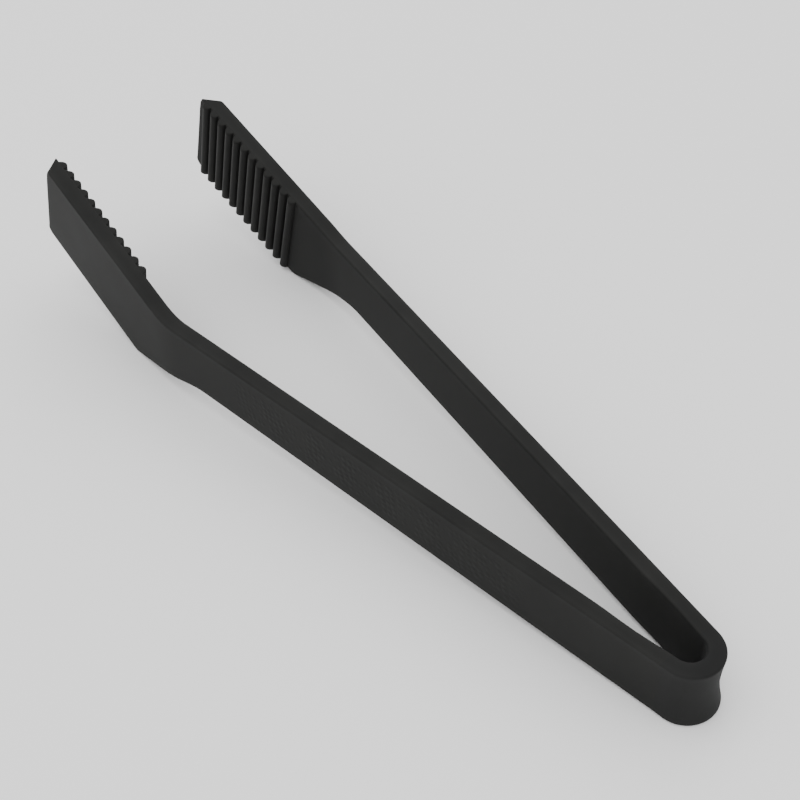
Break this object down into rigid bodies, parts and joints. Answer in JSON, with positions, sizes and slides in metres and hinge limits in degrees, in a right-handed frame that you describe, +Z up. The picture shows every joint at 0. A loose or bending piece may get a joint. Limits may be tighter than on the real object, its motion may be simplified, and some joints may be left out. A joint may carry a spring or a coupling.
{
  "type": "ice tongs",
  "caption": "One-piece black plastic ice tongs: a U-shaped spring bow, two straight strap arms and two cranked, ribbed jaws that close when squeezed.",
  "frame": {"origin": "on the table the tongs lie on, below the middle of their length and between the two arms", "axes": "+X from the bow to the jaw tips, +Y to the left arm, +Z up. The tongs lie on their side, on the lower edge of the bow and the two jaw heels, so the strap climbs by 2.3 degrees towards the jaws."},
  "size_m": [0.1674, 0.0418, 0.0315],
  "materials": {
    "moulded_plastic": "fine matte moulded surface, slightly polished on the edges by use"
  },
  "bodies": {
    "bow": {"spring_bow": "moulded_plastic"},
    "left_side": {"left_arm": "moulded_plastic", "left_jaw": "moulded_plastic", "left_ribs": "moulded_plastic"},
    "right_side": {"right_arm": "moulded_plastic", "right_jaw": "moulded_plastic", "right_ribs": "moulded_plastic"}
  },
  "joints": [
    {"name": "left_squeeze", "type": "hinge", "parent": "bow", "child": "left_side", "pos_m": [-0.07144, 0.00486, 0.00634], "axis": [0.0408, 0, -0.9992], "range_deg": [-3, 5.8], "stiffness_Nm_per_rad": 0.8, "deforming": ["spring_bow"]},
    {"name": "right_squeeze", "type": "hinge", "parent": "bow", "child": "right_side", "pos_m": [-0.07144, -0.00486, 0.00634], "axis": [-0.0408, 0, 0.9992], "range_deg": [-3, 5.8], "stiffness_Nm_per_rad": 0.8, "deforming": ["spring_bow"]}
  ],
  "couplings": [
    {"joint": "right_squeeze", "follows": "left_squeeze", "ratio": 1}
  ]
}
